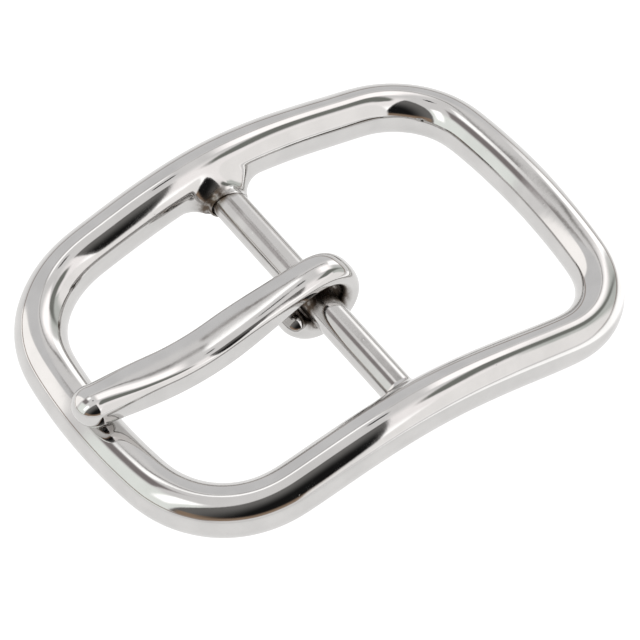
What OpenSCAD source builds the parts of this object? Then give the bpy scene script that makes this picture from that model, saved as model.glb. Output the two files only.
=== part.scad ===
// Centre-bar belt buckle: a humped loop of round section, a bar across its
// middle and a bent prong that hooks round the bar and rests on the front rail.
// +X runs from the prong's tip towards the rear rail, +Y across the strap.
// The origin is on the surface the buckle lies on, under the middle of its plan.

/* [Frame] */
// Overall length of the loop, front rail to rear rail
frame_l = 74; // [70:1:80]
// Width of the strap that the side rails let through at the bar
strap_w = 40; // [38:1:42]
// Diameter of the front rail and the side rails
rail_d = 6.8; // [6:0.1:7.5]
// Diameter of the rear rail
rear_rail_d = 6.3; // [5.6:0.1:6.8]
// How far the side rails rise over the bar
hump_h = 5; // [4.5:0.5:6]
// Radius of the two front corners, on the rail's centre line
front_corner_r = 14; // [12:1:16]
// Radius of the two rear corners, on the rail's centre line
rear_corner_r = 11; // [9:1:13]
// Radius of the front rail's outward bow
front_bow_r = 78; // [60:2:100]
// Radius of the rear rail's outward bow
rear_bow_r = 100; // [80:5:140]
// Radius of the side rails' outward bow
side_bow_r = 530; // [400:10:700]
// Where the side rails are widest, behind the middle
side_bow_x = 2.5; // [0:0.5:4]

/* [Centre bar] */
// Diameter of the bar
bar_d = 4.4; // [4:0.1:4.8]
// How far the bar stands ahead of the middle
bar_ahead = 1; // [0:0.25:2]
// Length of the far lug, which holds one bar end, out from the side rail
far_lug_l = 2.75; // [2.5:0.25:4]
// Length of the near lug, a smaller lug of the same form
near_lug_l = 1.5; // [1:0.25:2.5]
// Thickness of each lug's rim round the bar
lug_rim = 0.1; // [0.1:0.05:0.4]
// How far the far lug flares towards the front rail
lug_front_flare = 2.75; // [1.5:0.25:4]
// How far the far lug flares towards the rear rail
lug_rear_flare = 4.5; // [3:0.5:6]
// How far the far lug flares upwards
lug_top_flare = 1; // [0.5:0.25:1.5]
// How far the lugs' flares droop below the bar's axis, as a share of the flare
lug_droop = 0.15; // [0:0.05:0.5]
// How far each bar end reaches in past the side rail's inner face
bar_reach = 1.75; // [1:0.25:2.25]

/* [Prong] */
// Where the prong hangs on the bar, to the far side of the middle
prong_y = -0.8; // [-4:0.2:4]
// Width of the prong's shank
shank_w = 5.6; // [5:0.2:6]
// Thickness of the prong's shank
shank_t = 4.2; // [4:0.1:4.6]
// Width of the prong at its tip
tip_w = 5.6; // [5:0.2:6]
// Thickness of the prong at its tip
tip_t = 4.6; // [4.4:0.1:4.8]
// Squareness of the shank's section: 2 is an ellipse, more is nearer a rectangle
shank_square = 4.2; // [2:0.1:5]
// Squareness of the section in the prong's loop and at its tip
end_square = 2.3; // [2:0.1:3]
// Width of the prong where it turns round the bar
loop_w = 5; // [4.6:0.2:6]
// Thickness of the prong where it turns round the bar
loop_t = 2.8; // [2.6:0.1:3.2]
// Width of the hook's rounded end
hook_w = 5.4; // [5:0.2:6]
// Thickness of the hook's rounded end
hook_t = 3.4; // [3:0.1:3.8]
// Diameter of the eye that the bar runs in
eye_d = 5.8; // [5.6:0.1:6]
// Slope of the shank where it falls away from the bar
fall_angle = 14; // [12:0.5:15]
// Slope of the shank's last stretch, up to the tip
rise_angle = 7.5; // [6:0.5:8]
// Radius of the bend between the two slopes
dip_r = 26; // [22:1:30]

/* [Hidden] */

rail_sides = 20;
prong_sides = 20;
lug_sides = 28;

rail_r = rail_d / 2;
rear_rail_r = rear_rail_d / 2;
bar_r = bar_d / 2;
eye_r = eye_d / 2;

// The loop's centre line, seen from above: bowed ends, corners and bowed sides
front_x = -frame_l / 2 + rail_r;
rear_x = frame_l / 2 - rear_rail_r;
mid_x = (front_x + rear_x) / 2;
side_y = strap_w / 2 + rail_r;
front_bow_c = [front_x + front_bow_r, 0];
rear_bow_c = [rear_x - rear_bow_r, 0];
side_bow_c = [side_bow_x, side_y - side_bow_r];
front_corner_c = corner_centre(front_bow_c, front_bow_r, front_corner_r, -1);
rear_corner_c = corner_centre(rear_bow_c, rear_bow_r, rear_corner_r, 1);
front_bow_end = bearing(front_corner_c - front_bow_c);
side_start = bearing(front_corner_c - side_bow_c);
side_end = bearing(rear_corner_c - side_bow_c);
rear_bow_start = bearing(rear_corner_c - rear_bow_c);
half_loop = concat(
    arc(front_bow_c, front_bow_r, 180, front_bow_end, 4),
    arc(front_corner_c, front_corner_r, front_bow_end, side_start, 9),
    arc(side_bow_c, side_bow_r, side_start, side_end, 16),
    arc(rear_corner_c, rear_corner_r, side_end, rear_bow_start, 8),
    arc(rear_bow_c, rear_bow_r, rear_bow_start, 0, 4),
    [[rear_x, 0]]);
plan_loop = concat(half_loop, [for (i = [len(half_loop) - 2:-1:1]) [half_loop[i].x, -half_loop[i].y]]);
loop_line = [for (p = plan_loop) [p.x, p.y, rail_height(p.x)]];

// The bar's underside is level with the underside of the side rails there
bar_x = -bar_ahead;
bar_z = rail_height(bar_x) - rail_radius(bar_x) + bar_r;
bar_end = strap_w / 2 + bar_reach;

// The prong runs from the hook's end round the bar and down the shank to the tip.
// Its stations are [centre, heading, half width, half thickness, squareness], in the
// plane of its thickness and measured from the bar's axis.
eye_c = [0.4, 0.2];
eye_land = 0.12;
hook_end = -150;
crest_r = 14;
crest_n = 4;
crest_c = eye_c + [0, eye_r + loop_t / 2 - eye_land - crest_r];
fall_l = 11;
fall_n = 6;
fall_start = crest_c + crest_r * turned(90 + fall_angle);
fall_stop = fall_start + fall_l * turned(180 + fall_angle);
dip_c = fall_stop + dip_r * turned(90 + fall_angle);
rise_start = dip_c + dip_r * turned(270 - rise_angle);
tip_x = -35.8;
rise_l = (rise_start.x - tip_x - tip_w / 2) / cos(rise_angle);
hook_stations = [for (a = [hook_end:10:80])
    let (share = (a - hook_end) / (90 - hook_end))
    let (w = ease(hook_w, loop_w, share), t = ease(hook_t, loop_t, share))
    [eye_c + (eye_r + t / 2 - eye_land) * turned(a), a + 90, w / 2, t / 2, end_square]];
crest_stations = [for (i = [0:crest_n - 1])
    let (a = 90 + fall_angle * i / crest_n)
    [crest_c + crest_r * turned(a), a + 90, shank_half_w(i), shank_half_t(i), squareness(i)]];
fall_stations = [for (i = [0:fall_n - 1])
    [fall_start + i / fall_n * (fall_stop - fall_start), 180 + fall_angle,
        shank_half_w(crest_n + i), shank_half_t(crest_n + i), squareness(crest_n + i)]];
dip_stations = [for (i = [0:7])
    let (a = 270 + fall_angle - (fall_angle + rise_angle) * i / 8)
    [dip_c + dip_r * turned(a), a - 90, shank_w / 2, shank_t / 2, shank_square]];
rise_stations = [for (i = [0:6])
    [rise_start + rise_l * i / 6 * turned(180 - rise_angle), 180 - rise_angle,
        ease(shank_w, tip_w, i / 6) / 2, ease(shank_t, tip_t, i / 6) / 2,
        ease(shank_square, end_square, i / 6)]];
prong_stations = concat(hook_stations, crest_stations, fall_stations, dip_stations, rise_stations);

function turned(a) = [cos(a), sin(a)];
function bearing(v) = atan2(v.y, v.x);
function unit(v) = v / norm(v);
function arc(c, r, a0, a1, n) = [for (i = [0:n - 1]) c + r * turned(a0 + (a1 - a0) * i / n)];

// A size that eases from a to b as t goes from 0 to 1
function ease(a, b, t) = a + (b - a) * (1 - cos(180 * max(0, min(1, t)))) / 2;

// The centre of a corner that runs smoothly into an end's bow and the side's bow
function corner_centre(bow_c, bow_r, corner_r, facing) =
    meet(bow_c, bow_r - corner_r, side_bow_c, side_bow_r - corner_r, facing);

// The point where two circles cross, on the side of the line of centres that
// faces -X or +X
function meet(c1, r1, c2, r2, facing) =
    let (span = c2 - c1, d = norm(span), u = span / d)
    let (a = (d * d + r1 * r1 - r2 * r2) / (2 * d), h = sqrt(r1 * r1 - a * a))
    let (out = [-u.y, u.x] * (-u.y * facing > 0 ? 1 : -1))
    c1 + a * u + h * out;

// Radius of the rail, and height of its centre line, along the buckle
function rail_height(x) = rail_radius(x) + hump_h * (1 + cos(180 * (x - mid_x) / (rear_x - mid_x))) / 2;
function rail_radius(x) = rail_r + (rear_rail_r - rail_r) * max(0, x / rear_x);

function rail_ring(i) =
    let (n = len(loop_line), c = loop_line[i], r = rail_radius(c.x))
    let (along = unit(loop_line[(i + 1) % n] - loop_line[(i + n - 1) % n]))
    let (side = unit([-along.y, along.x, 0]), up = cross(side, along))
    [for (k = [0:rail_sides - 1])
        let (a = 360 * k / rail_sides)
        c + r * (side * cos(a) + up * sin(a))];

function shank_half_w(i) = ease(loop_w, shank_w, i / (crest_n + fall_n)) / 2;
function shank_half_t(i) = ease(loop_t, shank_t, i / (crest_n + fall_n)) / 2;
function squareness(i) = ease(end_square, shank_square, i / (crest_n + fall_n));

// A sine or cosine, swollen so that a circle of them bulges towards a square
function swollen(c, square) = sign(c) * pow(abs(c), 2 / square);

// The prong's outline at one station, shrunk and moved on where an end is rounded
function prong_ring(station, grow = 1, reach = 0) =
    let (c = station[0] + reach * turned(station[1]), outward = turned(station[1] - 90))
    [for (k = [0:prong_sides - 1])
        let (a = 360 * k / prong_sides)
        let (w = grow * station[2] * swollen(cos(a), station[4]))
        let (t = grow * station[3] * swollen(sin(a), station[4]))
        [bar_x + c.x + t * outward.x, prong_y + w, bar_z + c.y + t * outward.y]];
function round_end(station, length, angles) =
    [for (a = angles) prong_ring(station, cos(a), length * sin(a))];

// A lug's reach from the bar's axis, and its outline, at one share of its length
function flared(share, flare) = bar_r + lug_rim + flare * (1 - sqrt(1 - share * share));
function lug_ring(y, share, size) =
    let (rear = flared(share, size * lug_rear_flare), front = flared(share, size * lug_front_flare))
    let (top = flared(share, size * lug_top_flare))
    [for (k = [0:lug_sides - 1])
        let (a = 360 * k / lug_sides, reach = cos(a) > 0 ? rear : front, rise = sin(a) > 0 ? top : bar_r)
        [bar_x + reach * cos(a), y, bar_z + rise * sin(a) - lug_droop * (reach - bar_r) * cos(a) * cos(a)]];

// A skin over rings of points: joined end to end, or with a flat cap at each end
module skin(rings, joined) {
    n = len(rings);
    m = len(rings[0]);
    walls = [for (i = [0:joined ? n - 1 : n - 2], k = [0:m - 1], upper = [0, 1])
        let (a = i * m + k, b = i * m + (k + 1) % m)
        let (c = ((i + 1) % n) * m + (k + 1) % m, d = ((i + 1) % n) * m + k)
        upper == 1 ? [a, b, c] : [a, c, d]];
    caps = joined ? [] : [[for (k = [m - 1:-1:0]) k], [for (k = [0:m - 1]) (n - 1) * m + k]];
    polyhedron([for (ring = rings, p = ring) p], concat(walls, caps));
}

// A lug on the far side rail, which runs on into the rail as far as its middle
module lug(length) {
    size = length / far_lug_l;
    mouth = strap_w / 2 - length;
    rings = [for (a = [0:15:90]) lug_ring(mouth + length * sin(a), sin(a), size)];
    skin(concat(rings, [lug_ring(side_y, 1, size)]), false);
}

module bar_rod() {
    translate([bar_x, 0, bar_z])
        rotate([90, 0, 0]) cylinder(r = bar_r, h = 2 * bar_end, center = true, $fn = 64);
}

module frame() {
    color([0.80, 0.79, 0.77]) difference() {
        union() {
            skin([for (i = [0:len(loop_line) - 1]) rail_ring(i)], true);
            lug(far_lug_l);
            mirror([0, 1, 0]) lug(near_lug_l);
        }
        bar_rod();
    }
}

module center_bar() {
    color([0.76, 0.75, 0.74]) bar_rod();
}

module prong() {
    hook = prong_stations[0];
    tip = prong_stations[len(prong_stations) - 1];
    rings = concat(
        round_end(hook, -hook_t / 2, [76:-20:16]),
        [for (station = prong_stations) prong_ring(station)],
        round_end(tip, tip_w / 2, [14:16:78]));
    color([0.82, 0.81, 0.79]) difference() {
        skin(rings, false);
        translate([bar_x + eye_c.x, prong_y, bar_z + eye_c.y])
            rotate([90, 0, 0]) cylinder(r = eye_r, h = 2 * hook_w, center = true, $fn = 96);
    }
}

frame();
center_bar();
prong();
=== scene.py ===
"""A polished nickel belt buckle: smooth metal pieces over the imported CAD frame,
in a white light tent. Lengths are millimetres until a mesh is made."""

import math

import bpy
import numpy as np
from mathutils import Matrix, Vector, noise


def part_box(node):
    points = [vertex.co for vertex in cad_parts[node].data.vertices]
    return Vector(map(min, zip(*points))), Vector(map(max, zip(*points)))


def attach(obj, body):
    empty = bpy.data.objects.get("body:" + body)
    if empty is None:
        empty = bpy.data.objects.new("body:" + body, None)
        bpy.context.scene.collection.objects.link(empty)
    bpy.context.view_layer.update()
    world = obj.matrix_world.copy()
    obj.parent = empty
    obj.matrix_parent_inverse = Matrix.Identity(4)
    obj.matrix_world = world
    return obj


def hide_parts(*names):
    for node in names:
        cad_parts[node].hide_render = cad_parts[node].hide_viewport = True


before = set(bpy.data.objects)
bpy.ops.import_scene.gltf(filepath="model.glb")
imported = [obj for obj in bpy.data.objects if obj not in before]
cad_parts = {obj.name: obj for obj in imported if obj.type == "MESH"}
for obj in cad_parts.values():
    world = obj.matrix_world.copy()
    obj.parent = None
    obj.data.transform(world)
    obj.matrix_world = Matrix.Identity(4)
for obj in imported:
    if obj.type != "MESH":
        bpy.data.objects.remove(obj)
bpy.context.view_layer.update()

MM = 0.001


def box_mm(node):
    """The lowest and highest corner of a CAD node, in millimetres."""
    low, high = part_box(node)
    return np.array(low) / MM, np.array(high) / MM


frame_low, frame_high = box_mm("frame")
bar_low, bar_high = box_mm("center_bar")
prong_low, prong_high = box_mm("prong")

# ---- The design's driving dimensions, as in the CAD model ----

RAIL_R = 3.4
REAR_RAIL_R = 3.15
HUMP_H = 5.0
FRONT_CORNER_R = 14.0
REAR_CORNER_R = 11.0
FRONT_BOW_R = 78.0
REAR_BOW_R = 100.0
SIDE_BOW_R = 530.0
SIDE_BOW_X = 2.5

SHANK_SIZE = (5.6, 4.2)
TIP_SIZE = (5.6, 4.6)
LOOP_SIZE = (5.0, 2.8)
HOOK_SIZE = (5.4, 3.4)
SHANK_SQUARE = 4.2
END_SQUARE = 2.3
EYE_R = 2.9
EYE_FROM_BAR = np.array([0.4, 0.2])
EYE_LAND = 0.12
HOOK_END = -150
CREST_R = 14.0
FALL_L = 11.0
FALL_ANGLE = 14.0
RISE_ANGLE = 7.5
DIP_R = 26.0

front_x = frame_low[0] + RAIL_R
rear_x = frame_high[0] - REAR_RAIL_R
mid_x = (front_x + rear_x) / 2
side_y = frame_high[1] - RAIL_R
bar_x = (bar_low[0] + bar_high[0]) / 2
bar_z = (bar_low[2] + bar_high[2]) / 2
bar_r = (bar_high[2] - bar_low[2]) / 2
bar_end = bar_high[1]
prong_y = (prong_low[1] + prong_high[1]) / 2


# ---- Curves ----

def turned(degrees):
    """Unit vectors in a plane, at angles from its first axis."""
    a = np.radians(degrees)
    return np.stack([np.cos(a), np.sin(a)], axis=-1)


def unit(v):
    """Vectors scaled to a length of one."""
    return v / np.linalg.norm(v, axis=-1, keepdims=True)


def ease(a, b, t):
    """A size that eases from a to b as t goes from 0 to 1."""
    return a + (b - a) * (1 - np.cos(np.pi * np.clip(t, 0, 1))) / 2


def arc(centre, radius, start, stop, step=0.1):
    """Points along an arc, about step apart, without the last one."""
    count = max(2, int(abs(math.radians(stop - start)) * radius / step))
    angles = start + (stop - start) * np.arange(count) / count
    return np.asarray(centre) + radius * turned(angles)


def meet(c1, r1, c2, r2, facing):
    """Where two circles cross, on the side of their line of centres that faces -X or +X."""
    span = c2 - c1
    d = np.linalg.norm(span)
    u = span / d
    a = (d * d + r1 * r1 - r2 * r2) / (2 * d)
    out = np.array([-u[1], u[0]]) * (1 if -u[1] * facing > 0 else -1)
    return c1 + a * u + math.sqrt(r1 * r1 - a * a) * out


def bearing(v):
    """A plane vector's angle in degrees."""
    return math.degrees(math.atan2(v[1], v[0]))


def resampled(points, count, closed):
    """The same line with count points, evenly spaced along it."""
    line = np.vstack([points, points[:1]]) if closed else points
    walked = np.concatenate([[0], np.cumsum(np.linalg.norm(np.diff(line, axis=0), axis=1))])
    stops = np.linspace(0, walked[-1], count + 1)[:-1] if closed else np.linspace(0, walked[-1], count)
    return np.stack([np.interp(stops, walked, line[:, k]) for k in range(line.shape[1])], axis=1)


def softened(points, passes, closed):
    """Points averaged with their neighbours, so that arcs run into each other without a kink."""
    out = points.copy()
    for _ in range(passes):
        before, after = np.roll(out, 1, axis=0), np.roll(out, -1, axis=0)
        mixed = (before + 2 * out + after) / 4
        if not closed:
            mixed[0], mixed[-1] = out[0], out[-1]
        out = mixed
    return out


# ---- The loop's line ----

def rail_radius(x):
    """The rail's radius, which thins evenly from the middle to the rear."""
    return RAIL_R + (REAR_RAIL_R - RAIL_R) * np.maximum(0, x / rear_x)


def rail_height(x):
    """Height of the rail's centre line: it rests at both ends and humps in the middle."""
    return rail_radius(x) + HUMP_H * (1 + np.cos(np.pi * (x - mid_x) / (rear_x - mid_x))) / 2


def loop_plan():
    """The closed centre line from above, from the front's middle round by +Y."""
    front_c = np.array([front_x + FRONT_BOW_R, 0.0])
    rear_c = np.array([rear_x - REAR_BOW_R, 0.0])
    side_c = np.array([SIDE_BOW_X, side_y - SIDE_BOW_R])
    front_corner = meet(front_c, FRONT_BOW_R - FRONT_CORNER_R, side_c, SIDE_BOW_R - FRONT_CORNER_R, -1)
    rear_corner = meet(rear_c, REAR_BOW_R - REAR_CORNER_R, side_c, SIDE_BOW_R - REAR_CORNER_R, 1)
    bow_end = bearing(front_corner - front_c)
    side_start = bearing(front_corner - side_c)
    side_end = bearing(rear_corner - side_c)
    bow_start = bearing(rear_corner - rear_c)
    half = np.vstack([
        arc(front_c, FRONT_BOW_R, 180, bow_end),
        arc(front_corner, FRONT_CORNER_R, bow_end, side_start),
        arc(side_c, SIDE_BOW_R, side_start, side_end),
        arc(rear_corner, REAR_CORNER_R, side_end, bow_start),
        arc(rear_c, REAR_BOW_R, bow_start, 0),
        [[rear_x, 0.0]],
    ])
    other = half[-2:0:-1] * [1, -1]
    return np.vstack([half, other])


# Rings along the loop, points in each, and passes of averaging on its line
LOOP_RINGS = 440
RAIL_SIDES = 56
LOOP_SOFTENING = 14

plan = softened(resampled(loop_plan(), LOOP_RINGS, True), LOOP_SOFTENING, True)
loop_c = np.column_stack([plan, rail_height(plan[:, 0])])
loop_along = unit(np.roll(loop_c, -1, axis=0) - np.roll(loop_c, 1, axis=0))
loop_out = unit(np.column_stack([-loop_along[:, 1], loop_along[:, 0], np.zeros(LOOP_RINGS)]))
loop_up = np.cross(loop_along, loop_out)
loop_r = rail_radius(loop_c[:, 0])


# ---- Meshes ----

def skin(rings, closed_loop=False):
    """Quads between rings of points; an open skin gets a flat cap at each end."""
    count, sides = len(rings), len(rings[0])
    faces = []
    for i in range(count if closed_loop else count - 1):
        j = (i + 1) % count
        for k in range(sides):
            m = (k + 1) % sides
            faces.append((i * sides + k, i * sides + m, j * sides + m, j * sides + k))
    if not closed_loop:
        faces.append(tuple(reversed(range(sides))))
        faces.append(tuple((count - 1) * sides + k for k in range(sides)))
    return np.vstack(rings), faces


def outward(points, faces):
    """The faces, turned over if they enclose a negative volume."""
    volume = 0.0
    for face in faces:
        a = points[face[0]]
        for b, c in zip(face[1:-1], face[2:]):
            volume += np.dot(a, np.cross(points[b], points[c]))
    return faces if volume > 0 else [tuple(reversed(face)) for face in faces]


def used_only(points, faces):
    """The mesh without the points that no face uses."""
    used = sorted({i for face in faces for i in face})
    place = {old: new for new, old in enumerate(used)}
    return points[used], [tuple(place[i] for i in face) for face in faces]


def hand_polished(points, normals, depth, grain, seed):
    """Points moved in and out a little, the way a buffed casting is never quite true."""
    moved = points.copy()
    for i, (p, n) in enumerate(zip(points, normals)):
        wave = noise.noise(Vector(p) / grain + Vector((seed, 0, 0)))
        moved[i] += n * depth * wave
    return moved


def mesh_piece(name, points, faces, material, polish=0.0, grain=5.0, seed=0.0):
    """A smooth-shaded object from points in millimetres."""
    mesh = bpy.data.meshes.new(name)
    mesh.from_pydata((points * MM).tolist(), [], outward(points, faces))
    mesh.update()
    if polish:
        normals = np.array([v.normal for v in mesh.vertices])
        moved = hand_polished(points, normals, polish, grain, seed) * MM
        mesh.vertices.foreach_set("co", moved.ravel())
        mesh.update()
    mesh.polygons.foreach_set("use_smooth", [len(p.vertices) == 4 for p in mesh.polygons])
    mesh.materials.append(material)
    piece = bpy.data.objects.new(name, mesh)
    bpy.context.scene.collection.objects.link(piece)
    return piece


# ---- The frame's skin, with its two lugs blended in ----

# How far out a lug's core runs, and the part of the loop that counts as a side rail
LUG_ROOT = side_y - 0.8
SIDE_FROM_Y = 15
# The opening cut in the rail for a lug: its first and last side, counted round the
# rail, and its rings before and after the bar. Rings past it are blended too.
LUG_TOP_SIDE = 20
LUG_BOTTOM_SIDE = 42
LUG_RINGS_FRONT = 12
LUG_RINGS_REAR = 17
BLEND_MARGIN = 6
# Rings from the opening to the mouth, and degrees between rings round its lip
LUG_STEPS = 20
SOCKET_ROUND = 20
# The fillets' radii, and the angles round the bar where the two big ones are widest
FILLET_REAR = 4.3
FILLET_FRONT = 2.4
FILLET_TOP = 1.9
FILLET_BOTTOM = 0.3
FILLET_REAR_AT = -34
FILLET_FRONT_AT = 210
# The angle round the bar where the lip is thickest, and the gap inside the socket:
# its least width and how much wider it is there
RIM_FACING = 195
SOCKET_GAP_LEAST = 0.01
SOCKET_GAP = 0.07
# Each lug's mouth, how far the mouth is cut askew, its rim's least and greatest
# thickness and its share of the fillets. The far lug was left proud on one side.
FAR_LUG = {"mouth": 17.7, "askew": 0.6, "thin": 0.05, "thick": 0.45, "flare": 1.0}
NEAR_LUG = {"mouth": 19.2, "askew": 0.0, "thin": 0.05, "thick": 0.06, "flare": 0.45}


def proud(angle):
    """How much of a lug's odd side there is, from 0 to 1, at angles round the bar."""
    return ((1 + np.cos(np.radians(angle - RIM_FACING))) / 2) ** 2


def rim(angle, lug):
    """How far the lug's rim stands out of the bar, at angles round the bar."""
    return lug["thin"] + (lug["thick"] - lug["thin"]) * proud(angle)


def fillet(angle):
    """Radius of the fillet between lug and rail: large at the lower sides, where
    metal is left for strength, smaller on top and least underneath."""
    s = np.sin(np.radians(angle))
    rear = np.maximum(0, np.cos(np.radians(angle - FILLET_REAR_AT))) ** 1.6
    front = np.maximum(0, np.cos(np.radians(angle - FILLET_FRONT_AT))) ** 1.6
    least = FILLET_BOTTOM + (FILLET_TOP - FILLET_BOTTOM) * (1 + s) / 2
    return least + FILLET_REAR * rear + FILLET_FRONT * front


def lug_field(p, lug):
    """Signed distance, roughly, from the far side rail with its lug filleted on."""
    near = np.linalg.norm(p[:, None, :] - side_c3[None, :, :], axis=2).argmin(axis=1)
    c, t = side_c3[near], side_along[near]
    foot = c + t * np.sum((p - c) * t, axis=1, keepdims=True)
    from_rail = np.linalg.norm(p - foot, axis=1) - rail_radius(foot[:, 0])
    dx, dz = p[:, 0] - bar_x, p[:, 2] - bar_z
    angle = np.degrees(np.arctan2(dz, dx))
    from_lug = np.maximum(np.hypot(dx, dz) - bar_r - rim(angle, lug), p[:, 1] - LUG_ROOT)
    r = lug["flare"] * fillet(angle)
    corner = np.hypot(np.maximum(r - from_rail, 0), np.maximum(r - from_lug, 0))
    return np.maximum(r, np.minimum(from_rail, from_lug)) - corner


def settled(p, lug, passes=8, h=0.01):
    """Points moved onto the blended surface, down the field's slope."""
    p = p.copy()
    for _ in range(passes):
        slope = np.stack([
            (lug_field(p + h * axis, lug) - lug_field(p - h * axis, lug)) / (2 * h) for axis in np.eye(3)
        ], axis=1)
        length = np.maximum(np.sum(slope ** 2, axis=1), 0.25)
        p -= slope * (lug_field(p, lug) / length)[:, None]
    return p


far_side = loop_c[:, 1] > SIDE_FROM_Y
side_c3 = loop_c[far_side]
side_along = loop_along[far_side]


def rail_ring(i):
    """Points round the plain rail at one place along the loop."""
    a = 360 * np.arange(RAIL_SIDES) / RAIL_SIDES
    c, s = turned(a)[:, :1], turned(a)[:, 1:]
    return loop_c[i] + loop_r[i] * (loop_out[i] * c + loop_up[i] * s)


def lug_rings(outline, lug):
    """Rings of a lug on the far side, from its outline on the rail to the end of its socket."""
    angle = np.degrees(np.arctan2(outline[:, 2] - bar_z, outline[:, 0] - bar_x))
    way = np.column_stack([turned(angle)[:, 0], np.zeros(len(angle)), turned(angle)[:, 1]])
    lip = rim(angle, lug)[:, None]
    gap = (SOCKET_GAP_LEAST + SOCKET_GAP * proud(angle))[:, None]
    across = np.array([0.0, 1.0, 0.0])
    askew = lug["askew"] * np.cos(np.radians(angle - RIM_FACING))
    mouth = np.array([bar_x, lug["mouth"], bar_z]) + askew[:, None] * across
    inner = mouth + across * (lip + 0.7) + way * (bar_r + lip)
    rings = [settled(outline + (inner - outline) * i / LUG_STEPS, lug) for i in range(1, LUG_STEPS + 1)]
    rings.append(mouth + across * (lip / 2 + 0.3) + way * (bar_r + lip))
    for a in range(0, 181, SOCKET_ROUND):
        back = lip / 2 * (1 - math.sin(math.radians(a)))
        drop = (lip - gap) / 2 * (1 - math.cos(math.radians(a)))
        rings.append(mouth + across * back + way * (bar_r + lip - drop))
    rings.append(mouth + across * 0.6 + way * (bar_r + gap))
    rings.append(np.array([bar_x, bar_end, bar_z]) + way * (bar_r + gap))
    return rings


def grown(points, faces, edge, rings, turn_over):
    """The mesh with rings of new points joined on, one after another, and capped."""
    before = edge
    for ring in rings:
        now = list(range(len(points), len(points) + len(edge)))
        points = np.vstack([points, ring])
        for k in range(len(edge)):
            m = (k + 1) % len(edge)
            quad = (before[k], before[m], now[m], now[k])
            faces.append(quad[::-1] if turn_over else quad)
        before = now
    faces.append(tuple(reversed(before)) if turn_over else tuple(before))
    return points


def opposite(i):
    """The ring that mirrors ring i across the belt."""
    return (LOOP_RINGS - i) % LOOP_RINGS


def frame_mesh():
    """The rail's rings, opened at each side for a lug that grows out of the opening's edge."""
    rings = [rail_ring(i) for i in range(LOOP_RINGS)]
    at_bar = int(np.argmin(np.where(loop_c[:, 1] < 0, np.inf, np.abs(loop_c[:, 0] - bar_x))))
    first = at_bar - LUG_RINGS_FRONT
    last = at_bar + LUG_RINGS_REAR
    mirrored = [1, -1, 1]
    for i in range(first - BLEND_MARGIN, last + BLEND_MARGIN + 1):
        plain = rings[i]
        rings[i] = settled(plain, FAR_LUG)
        rings[opposite(i)] = settled(plain, NEAR_LUG) * mirrored
    points, faces = skin(rings, closed_loop=True)
    sides = range(LUG_TOP_SIDE, LUG_BOTTOM_SIDE)
    gone = {(i, k) for i in range(first, last) for k in sides}
    gone |= {(opposite(i + 1), k) for i, k in gone}
    faces = [f for n, f in enumerate(faces) if (n // RAIL_SIDES, n % RAIL_SIDES) not in gone]
    edge = [(first, k) for k in range(LUG_TOP_SIDE, LUG_BOTTOM_SIDE)]
    edge += [(i, LUG_BOTTOM_SIDE) for i in range(first, last)]
    edge += [(last, k) for k in range(LUG_BOTTOM_SIDE, LUG_TOP_SIDE, -1)]
    edge += [(i, LUG_TOP_SIDE) for i in range(last, first, -1)]
    far_edge = [i * RAIL_SIDES + k for i, k in edge]
    near_edge = [opposite(i) * RAIL_SIDES + k for i, k in edge]
    far_lug = lug_rings(points[far_edge], FAR_LUG)
    near_lug = [ring * mirrored for ring in lug_rings(points[near_edge] * mirrored, NEAR_LUG)]
    points = grown(points, faces, far_edge, far_lug, False)
    points = grown(points, faces, near_edge, near_lug, True)
    return used_only(points, faces)


# ---- The bar ----

BAR_SIDES = 64
BAR_CHAMFER = 0.4
BAR_RINGS = 88


def bar_mesh():
    """A turned rod with a small chamfer at each end."""
    way = turned(360 * np.arange(BAR_SIDES) / BAR_SIDES)
    profile = [(-bar_end, bar_r - BAR_CHAMFER), (-bar_end + BAR_CHAMFER, bar_r)]
    profile += [(y, bar_r) for y in np.linspace(-bar_end + 1, bar_end - 1, BAR_RINGS)]
    profile += [(bar_end - BAR_CHAMFER, bar_r), (bar_end, bar_r - BAR_CHAMFER)]
    rings = [
        np.column_stack([bar_x + r * way[:, 0], np.full(BAR_SIDES, y), bar_z + r * way[:, 1]])
        for y, r in profile
    ]
    return skin(rings)


# ---- The prong ----

# Points in a ring, rings, passes of averaging, and degrees between rings at a round end
PRONG_SIDES = 56
PRONG_RINGS = 190
PRONG_SOFTENING = 14
END_STEP = 7.5


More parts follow.
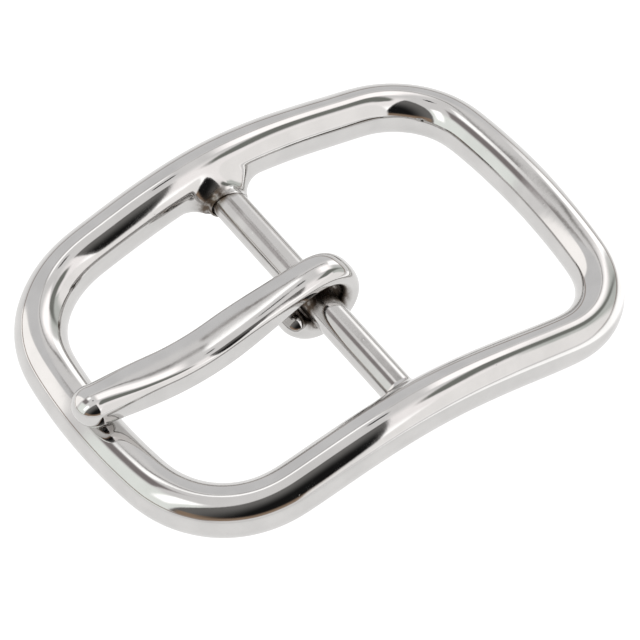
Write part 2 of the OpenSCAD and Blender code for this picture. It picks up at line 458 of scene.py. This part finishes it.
def prong_path():
    """The prong's middle line in its own plane, from the hook's end to the tip, the
    distances along it where the hook ends and the shank has its full size, and the
    length of its last straight stretch, which rises to the tip."""
    loop_t = LOOP_SIZE[1]
    hook_angles = np.arange(HOOK_END, 90.0, 1.0)
    hook_t = ease(HOOK_SIZE[1], loop_t, (hook_angles - HOOK_END) / (90 - HOOK_END))
    reach = (EYE_R + hook_t / 2 - EYE_LAND)[:, None]
    hook = EYE_FROM_BAR + reach * turned(hook_angles)
    crest_c = EYE_FROM_BAR + [0, EYE_R + loop_t / 2 - EYE_LAND - CREST_R]
    crest = arc(crest_c, CREST_R, 90, 90 + FALL_ANGLE)
    fall_start = crest_c + CREST_R * turned(90 + FALL_ANGLE)
    fall_stop = fall_start + FALL_L * turned(180 + FALL_ANGLE)
    dip_c = fall_stop + DIP_R * turned(90 + FALL_ANGLE)
    dip = arc(dip_c, DIP_R, 270 + FALL_ANGLE, 270 - RISE_ANGLE)
    rise_start = dip_c + DIP_R * turned(270 - RISE_ANGLE)
    tip_x = prong_low[0] - bar_x
    rise_l = (rise_start[0] - tip_x - TIP_SIZE[0] / 2) / math.cos(math.radians(RISE_ANGLE))
    tip = rise_start + rise_l * turned(180 - RISE_ANGLE)
    fall = np.linspace(fall_start, fall_stop, 40)[:-1]
    rise = np.linspace(rise_start, tip, 60)
    line = np.vstack([hook, crest, fall, dip, rise])
    hook_l = np.sum(np.linalg.norm(np.diff(np.vstack([hook, crest[:1]]), axis=0), axis=1))
    shank_l = hook_l + math.radians(FALL_ANGLE) * CREST_R + FALL_L
    return line, hook_l, shank_l, rise_l


def prong_mesh():
    """Rings between an ellipse and a square, swept along the prong's line, rounded at both ends."""
    line, hook_l, shank_l, rise_l = prong_path()
    line = softened(resampled(line, PRONG_RINGS, False), PRONG_SOFTENING, False)
    walked = np.concatenate([[0], np.cumsum(np.linalg.norm(np.diff(line, axis=0), axis=1))])
    heading = unit(np.gradient(line, axis=0))
    total = walked[-1]
    rising = (walked - total + rise_l) / rise_l
    past_hook = (walked - hook_l) / (shank_l - hook_l)
    square = ease(END_SQUARE, SHANK_SQUARE, past_hook)
    square = np.where(rising > 0, ease(SHANK_SQUARE, END_SQUARE, rising), square)
    sizes = []
    for k in (0, 1):
        size = ease(HOOK_SIZE[k], LOOP_SIZE[k], walked / hook_l)
        size = np.where(past_hook > 0, ease(LOOP_SIZE[k], SHANK_SIZE[k], past_hook), size)
        sizes.append(np.where(rising > 0, ease(SHANK_SIZE[k], TIP_SIZE[k], rising), size) / 2)
    half_w, half_t = sizes
    around = turned(360 * np.arange(PRONG_SIDES) / PRONG_SIDES)

    def ring(i, grow=1.0, reach=0.0):
        c = line[i] + reach * heading[i]
        outward_way = np.array([heading[i][1], -heading[i][0]])
        swollen = np.sign(around) * np.abs(around) ** (2 / square[i])
        w = grow * half_w[i] * swollen[:, 0]
        t = grow * half_t[i] * swollen[:, 1]
        flat = c + t[:, None] * outward_way
        return np.column_stack([bar_x + flat[:, 0], prong_y + w, bar_z + flat[:, 1]])

    end_steps = turned(np.arange(END_STEP, 90 - END_STEP / 2, END_STEP))
    rings = [ring(0, grow, -half_t[0] * reach) for grow, reach in end_steps[::-1]]
    rings += [ring(i) for i in range(PRONG_RINGS)]
    rings += [ring(-1, grow, half_w[-1] * reach) for grow, reach in end_steps]
    points, faces = skin(rings)
    eye = np.array([bar_x, bar_z]) + EYE_FROM_BAR
    offset = points[:, [0, 2]] - eye
    far = np.linalg.norm(offset, axis=1)
    inside = far < EYE_R
    points[np.ix_(inside, [0, 2])] = eye + offset[inside] * (EYE_R / far[inside])[:, None]
    return points, faces


# ---- Materials ----

POLISHED = (0.60, 0.59, 0.58)
# Painted shade: the dark brown that stands in for shadow in the hollows, and the roughness added where it
# is painted
SHADE_BROWN = (0.10, 0.075, 0.055)
SHADE_HAZE = 0.26
# Grains of the noises and spacing of the pits, in millimetres
HAZE_GRAIN = 4.0
SHADE_PATCH_GRAIN = 0.8
PEEL_GRAIN = 0.9
FINE_PEEL_GRAIN = 0.22
PIT_SPACING = 1.3
PIT_PATCHES = 3.0
# Share of the relief's depth that each one takes, and that depth in millimetres
PEEL = 0.16
FINE_PEEL = 0.035
PIT = 0.5
RELIEF_DEPTH = 0.012


def combined(tree, operation, a, b):
    """A maths node's output; a and b are sockets or plain numbers."""
    node = tree.nodes.new("ShaderNodeMath")
    node.operation = operation
    for socket, value in zip(node.inputs, (a, b)):
        if isinstance(value, (int, float)):
            socket.default_value = value
        else:
            tree.links.new(value, socket)
    return node.outputs[0]


def remapped(tree, value, start, stop, low=0.0, high=1.0, smooth=True):
    """A value taken from the span start to stop over to the span low to high."""
    node = tree.nodes.new("ShaderNodeMapRange")
    node.interpolation_type = "SMOOTHSTEP" if smooth else "LINEAR"
    spans = zip(("From Min", "From Max", "To Min", "To Max"), (start, stop, low, high))
    for name, number in spans:
        node.inputs[name].default_value = number
    tree.links.new(value, node.inputs["Value"])
    return node.outputs["Result"]


def blended(tree, factor, a, b):
    """A colour between a and b; each is a socket or a plain value."""
    node = tree.nodes.new("ShaderNodeMix")
    node.data_type = "RGBA"
    sockets = {socket.identifier: socket for socket in node.inputs}
    for name, value in zip(("Factor_Float", "A_Color", "B_Color"), (factor, a, b)):
        if isinstance(value, tuple):
            sockets[name].default_value = (*value, 1)
        else:
            tree.links.new(value, sockets[name])
    return next(socket for socket in node.outputs if socket.identifier == "Result_Color")


def cloud(tree, place, grain, detail):
    """Soft noise whose lumps are about grain millimetres across."""
    node = tree.nodes.new("ShaderNodeTexNoise")
    node.inputs["Scale"].default_value = 1 / (grain * MM)
    node.inputs["Detail"].default_value = detail
    tree.links.new(place, node.inputs["Vector"])
    return node.outputs["Fac"]


def parts_of(tree, vector):
    """A vector socket's X, Y and Z sockets."""
    node = tree.nodes.new("ShaderNodeSeparateXYZ")
    tree.links.new(vector, node.inputs[0])
    return node.outputs


def from_bar(tree, place, offset=(0.0, 0.0)):
    """Distance in metres from the bar's axis, or from a line offset from it along x, z."""
    parts = parts_of(tree, place)
    dx = combined(tree, "SUBTRACT", parts["X"], (bar_x + offset[0]) * MM)
    dz = combined(tree, "SUBTRACT", parts["Z"], (bar_z + offset[1]) * MM)
    square = combined(tree, "ADD", combined(tree, "MULTIPLY", dx, dx), combined(tree, "MULTIPLY", dz, dz))
    return combined(tree, "SQRT", square, 0.0)


def shade_in_prong_eye(tree, place):
    """Painted shade: full inside the prong's hook, where its inside lies in shadow."""
    return remapped(tree, from_bar(tree, place, EYE_FROM_BAR), (EYE_R + 1.1) * MM, (EYE_R + 0.05) * MM)


def shade_under_prong(tree, place):
    """Painted shade: full on the bar inside the prong's eye, and where the bar enters its far lug."""
    y = parts_of(tree, place)["Y"]
    away = combined(tree, "ABSOLUTE", combined(tree, "SUBTRACT", y, prong_y * MM), 0.0)
    in_eye = remapped(tree, away, 3.6 * MM, 2.2 * MM)
    at_lug = remapped(tree, y, (FAR_LUG["mouth"] - 1.0) * MM, FAR_LUG["mouth"] * MM)
    return combined(tree, "MAXIMUM", in_eye, at_lug)


def shade_at_far_lug(tree, place):
    """Painted shade: full in the hollow between the far lug and the front half of its side rail."""
    parts = parts_of(tree, place)
    near_bar = remapped(tree, from_bar(tree, place), 5.4 * MM, 3.2 * MM)
    ahead = remapped(tree, parts["X"], (bar_x + 0.8) * MM, (bar_x - 1.2) * MM)
    inside = remapped(tree, parts["Y"], (side_y - RAIL_R + 0.2) * MM, (side_y - RAIL_R - 1.2) * MM)
    far = remapped(tree, parts["Y"], 0.0, FAR_LUG["mouth"] / 2 * MM)
    hollow = combined(tree, "MULTIPLY", near_bar, ahead)
    return combined(tree, "MULTIPLY", hollow, combined(tree, "MULTIPLY", inside, far))


def nickel(name, colour, roughness, shade_mask_of):
    """Polished nickel plate: a mirror with a little haze, orange peel, pits, and painted shade in its
    hollows.
    """
    material = bpy.data.materials.new(name)
    material.use_nodes = True
    tree = material.node_tree
    shader = tree.nodes["Principled BSDF"]
    shader.inputs["Metallic"].default_value = 1.0
    place = tree.nodes.new("ShaderNodeTexCoord").outputs["Object"]

    haze = cloud(tree, place, HAZE_GRAIN, 4)
    # Painted shade: a mask of the hollows, made patchy by noise, turns the colour dark brown and raises the
    # roughness there
    patchy = remapped(tree, cloud(tree, place, SHADE_PATCH_GRAIN, 3), 0.3, 0.6, 0.55, 1)
    painted_shade = combined(tree, "MULTIPLY", shade_mask_of(tree, place), patchy)
    shade = tree.nodes.new("ShaderNodeHueSaturation")
    tree.links.new(remapped(tree, haze, 0.3, 0.7, 0.96, 1.03), shade.inputs["Value"])
    tree.links.new(blended(tree, painted_shade, colour, SHADE_BROWN), shade.inputs["Color"])
    tree.links.new(shade.outputs["Color"], shader.inputs["Base Color"])

    polish = remapped(tree, haze, 0.35, 0.7, roughness * 0.75, roughness * 1.5)
    dulled = combined(tree, "ADD", polish, combined(tree, "MULTIPLY", painted_shade, SHADE_HAZE))
    tree.links.new(dulled, shader.inputs["Roughness"])

    pits = tree.nodes.new("ShaderNodeTexVoronoi")
    pits.inputs["Scale"].default_value = 1 / (PIT_SPACING * MM)
    tree.links.new(place, pits.inputs["Vector"])
    sparse = remapped(tree, cloud(tree, place, PIT_PATCHES, 2), 0.5, 0.62)
    dent = combined(tree, "MULTIPLY", remapped(tree, pits.outputs["Distance"], 0.10, 0.03, 0, PIT), sparse)
    coarse = combined(tree, "MULTIPLY", cloud(tree, place, PEEL_GRAIN, 2), PEEL)
    fine = combined(tree, "MULTIPLY", cloud(tree, place, FINE_PEEL_GRAIN, 1), FINE_PEEL)
    peel = combined(tree, "SUBTRACT", combined(tree, "ADD", coarse, fine), dent)
    relief = tree.nodes.new("ShaderNodeBump")
    relief.inputs["Distance"].default_value = RELIEF_DEPTH * MM
    tree.links.new(peel, relief.inputs["Height"])
    tree.links.new(relief.outputs["Normal"], shader.inputs["Normal"])
    return material


# ---- The camera ----

CAMERA_AZIMUTH = 35.055
CAMERA_ELEVATION = 51.14
CAMERA_DISTANCE = 649.0
CAMERA_TARGET = (-0.741, -1.858, 3.4)
LENS = 289.95


def add_camera():
    """The camera, at its angle and distance from the buckle."""
    data = bpy.data.cameras.new("camera")
    data.lens = LENS
    data.sensor_width = 36
    data.clip_end = 10
    camera = bpy.data.objects.new("camera", data)
    a, e = math.radians(CAMERA_AZIMUTH), math.radians(CAMERA_ELEVATION)
    right = Vector((math.cos(a), -math.sin(a), 0))
    ahead = Vector((math.sin(a) * math.cos(e), math.cos(a) * math.cos(e), -math.sin(e)))
    up = right.cross(ahead)
    place = (Vector(CAMERA_TARGET) - ahead * CAMERA_DISTANCE) * MM
    turn = Matrix((right, up, -ahead)).transposed().to_4x4()
    camera.matrix_world = Matrix.Translation(place) @ turn
    bpy.context.scene.collection.objects.link(camera)
    bpy.context.scene.camera = camera


# ---- The floor ----

# How far the floor reaches, the distances between which its painted glow dims, its
# brightness at each, and the extra painted light past the rear rail on the near side,
# with the spans of x and y over which that light comes up
FLOOR_REACH = 3000
FLOOR_FADE = (40, 220)
FLOOR_NEAR = 0.85
FLOOR_FAR = 0.62
FLOOR_GLOW = 0.6
GLOW_X = (34, 40)
GLOW_Y = (8, -2)


def add_floor():
    """A wide white table whose glow is painted light: it dims away from the buckle, is
    brighter on one side, and is plain white to the camera."""
    mesh = bpy.data.meshes.new("floor")
    reach = FLOOR_REACH * MM
    corners = [(x * reach, y * reach, 0) for x, y in ((-1, -1), (1, -1), (1, 1), (-1, 1))]
    mesh.from_pydata(corners, [], [(0, 1, 2, 3)])
    material = bpy.data.materials.new("floor_white")
    material.use_nodes = True
    tree = material.node_tree
    shader = tree.nodes["Principled BSDF"]
    shader.inputs["Base Color"].default_value = (0.3, 0.3, 0.3, 1)
    shader.inputs["Roughness"].default_value = 0.9
    shader.inputs["Specular IOR Level"].default_value = 0.0
    shader.inputs["Emission Color"].default_value = (1, 1, 1, 1)
    place = tree.nodes.new("ShaderNodeNewGeometry").outputs["Position"]
    away = tree.nodes.new("ShaderNodeVectorMath")
    away.operation = "LENGTH"
    tree.links.new(place, away.inputs[0])
    start, stop = (at * MM for at in FLOOR_FADE)
    fade = remapped(tree, away.outputs["Value"], start, stop, FLOOR_NEAR, FLOOR_FAR, smooth=False)
    parts = parts_of(tree, place)
    behind = remapped(tree, parts["X"], GLOW_X[0] * MM, GLOW_X[1] * MM, 0, FLOOR_GLOW)
    near = remapped(tree, parts["Y"], GLOW_Y[0] * MM, GLOW_Y[1] * MM)
    bright = combined(tree, "ADD", fade, combined(tree, "MULTIPLY", behind, near))
    path = tree.nodes.new("ShaderNodeLightPath")
    seen = tree.nodes.new("ShaderNodeMix")
    seen.inputs["B"].default_value = 1.0
    tree.links.new(path.outputs["Is Camera Ray"], seen.inputs["Factor"])
    tree.links.new(bright, seen.inputs["A"])
    tree.links.new(seen.outputs["Result"], shader.inputs["Emission Strength"])
    mesh.materials.append(material)
    floor = bpy.data.objects.new("floor", mesh)
    bpy.context.scene.collection.objects.link(floor)


# ---- The light tent ----

# The light tent's panels: the span each one fills of a direction's x, y, z and x - y,
# its tone, and how soft its edges are along each. A later panel covers an earlier
# one, and a span has None where it has no end.
TENT_TONE = (0.96, 0.95, 0.95)
OPEN = (None, None)
TENT_PANELS = [
    ("back", (-0.22, None), (0.55, None), OPEN, OPEN, (0.83, 0.83, 0.84), (0.04, 0.015, 0, 0)),
    ("back_left", (None, -0.25), (0.57, None), OPEN, OPEN, (1.5, 1.47, 1.45), (0.03, 0.02, 0, 0)),
    ("left", (None, -0.5), (-0.16, 0.50), OPEN, OPEN, (1.15, 1.2, 1.16), (0.12, 0.02, 0, 0)),
    ("left_glare", (-0.84, -0.42), (-0.06, 0.12), (0.1, None), OPEN, (2.2, 2.2, 2.2), (0.07, 0.05, 0.1, 0)),
    ("back_gap", (-0.48, -0.14), (0.28, 0.53), (0.1, None), OPEN, (0.30, 0.27, 0.27), (0.08, 0.03, 0.1, 0)),
    ("back_seam", (-0.2, 0.12), (0.53, 0.55), (0.1, None), OPEN, (0.35, 0.33, 0.32), (0.04, 0.01, 0.1, 0)),
    ("back_glare", (-0.10, 0.13), (0.41, 0.49), (0.1, None), OPEN, (1.8, 1.8, 1.8), (0.05, 0.02, 0.1, 0)),
    ("right_seam", (0.10, 0.66), (0.487, 0.502), (0.1, None), OPEN, (0.26, 0.25, 0.24),
     (0.06, 0.009, 0.1, 0)),
    ("right_front", (0.13, None), (None, -0.12), (0.1, None), OPEN, (1.37, 1.33, 1.33),
     (0.015, 0.20, 0.05, 0)),
    ("front_glare", (0.12, 0.62), (None, -0.70), (0.1, None), OPEN, (1.9, 1.9, 1.9), (0.05, 0.14, 0.05, 0)),
    ("right", (0.74, None), (-0.4, 0.30), (0.1, None), OPEN, (0.72, 0.75, 0.72), (0.03, 0.12, 0.05, 0)),
    ("right_light", (0.40, 0.76), (0.12, 0.44), (0.1, None), OPEN, (1.75, 1.7, 1.7), (0.10, 0.05, 0.1, 0)),
    ("right_gap", (0.30, None), (-0.34, 0.16), (0.1, None), (0.50, 0.84), (0.25, 0.26, 0.24),
     (0.06, 0.06, 0.1, 0.07)),
    ("right_wedge", (0.74, None), (0.37, 0.52), (0.1, None), OPEN, (1.8, 1.8, 1.8), (0.02, 0.03, 0.05, 0)),
    ("horizon", OPEN, (-0.6, None), (0.07, 0.13), OPEN, (0.36, 0.30, 0.26), (0, 0.1, 0.03, 0)),
    ("opening_top", (None, 0.125), (None, -0.17), (0.16, None), OPEN, (0.20, 0.195, 0.19),
     (0.015, 0.025, 0.04, 0)),
    ("opening_haze", (None, 0.10), (None, -0.22), (0.13, 0.40), OPEN, (0.36, 0.26, 0.19),
     (0.02, 0.05, 0.04, 0)),
    ("opening", (None, 0.10), (None, -0.50), (0.30, None), OPEN, (0.012, 0.012, 0.012),
     (0.03, 0.24, 0.08, 0)),
    ("opening_corner", (-0.15, None), (None, -0.2), (0.1, None), (1.0, None), (1.25, 1.23, 1.22),
     (0.03, 0.1, 0.05, 0.05)),
    ("hole", (0.06, 0.15), (0.18, 0.26), (0.5, None), OPEN, (0.012, 0.012, 0.012), (0.01, 0.01, 0.1, 0)),
]


def light_tent():
    """White fabric panels all round, with gaps between them and an opening for the camera."""
    world = bpy.data.worlds.new("tent")
    world.use_nodes = True
    tree = world.node_tree
    background = tree.nodes["Background"]
    towards = parts_of(tree, tree.nodes.new("ShaderNodeTexCoord").outputs["Generated"])
    ways = [*towards, combined(tree, "SUBTRACT", towards["X"], towards["Y"])]
    seen = TENT_TONE
    for name, *spans, tone, softness in TENT_PANELS:
        cover = None
        for span, way, soft in zip(spans, ways, softness):
            for at, starts in zip(span, (True, False)):
                if at is None:
                    continue
                edge = remapped(tree, way, at - soft, at + soft)
                edge = edge if starts else combined(tree, "SUBTRACT", 1.0, edge)
                cover = edge if cover is None else combined(tree, "MULTIPLY", cover, edge)
        seen = blended(tree, cover, seen, tone)
        seen.node.label = name
    path = tree.nodes.new("ShaderNodeLightPath")
    seen = blended(tree, path.outputs["Is Camera Ray"], seen, (1.0, 1.0, 1.0))
    tree.links.new(seen, background.inputs["Color"])
    bpy.context.scene.world = world


# ---- The scene ----

bpy.context.scene.view_settings.view_transform = "Standard"
add_camera()
add_floor()
light_tent()

frame_look = nickel("frame_nickel_look", POLISHED, 0.06, shade_at_far_lug)
bar_look = nickel("bar_nickel_look", POLISHED, 0.08, shade_under_prong)
prong_look = nickel("prong_nickel_look", POLISHED, 0.06, shade_in_prong_eye)

casting = mesh_piece("frame_casting", *frame_mesh(), frame_look, 0.012)
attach(casting, "frame")
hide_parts("frame")

rod = mesh_piece("center_bar_rod", *bar_mesh(), bar_look)
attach(rod, "frame")
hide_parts("center_bar")

hook = mesh_piece("prong_hook", *prong_mesh(), prong_look, 0.010, 4.0, 7.0)
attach(hook, "prong")
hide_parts("prong")
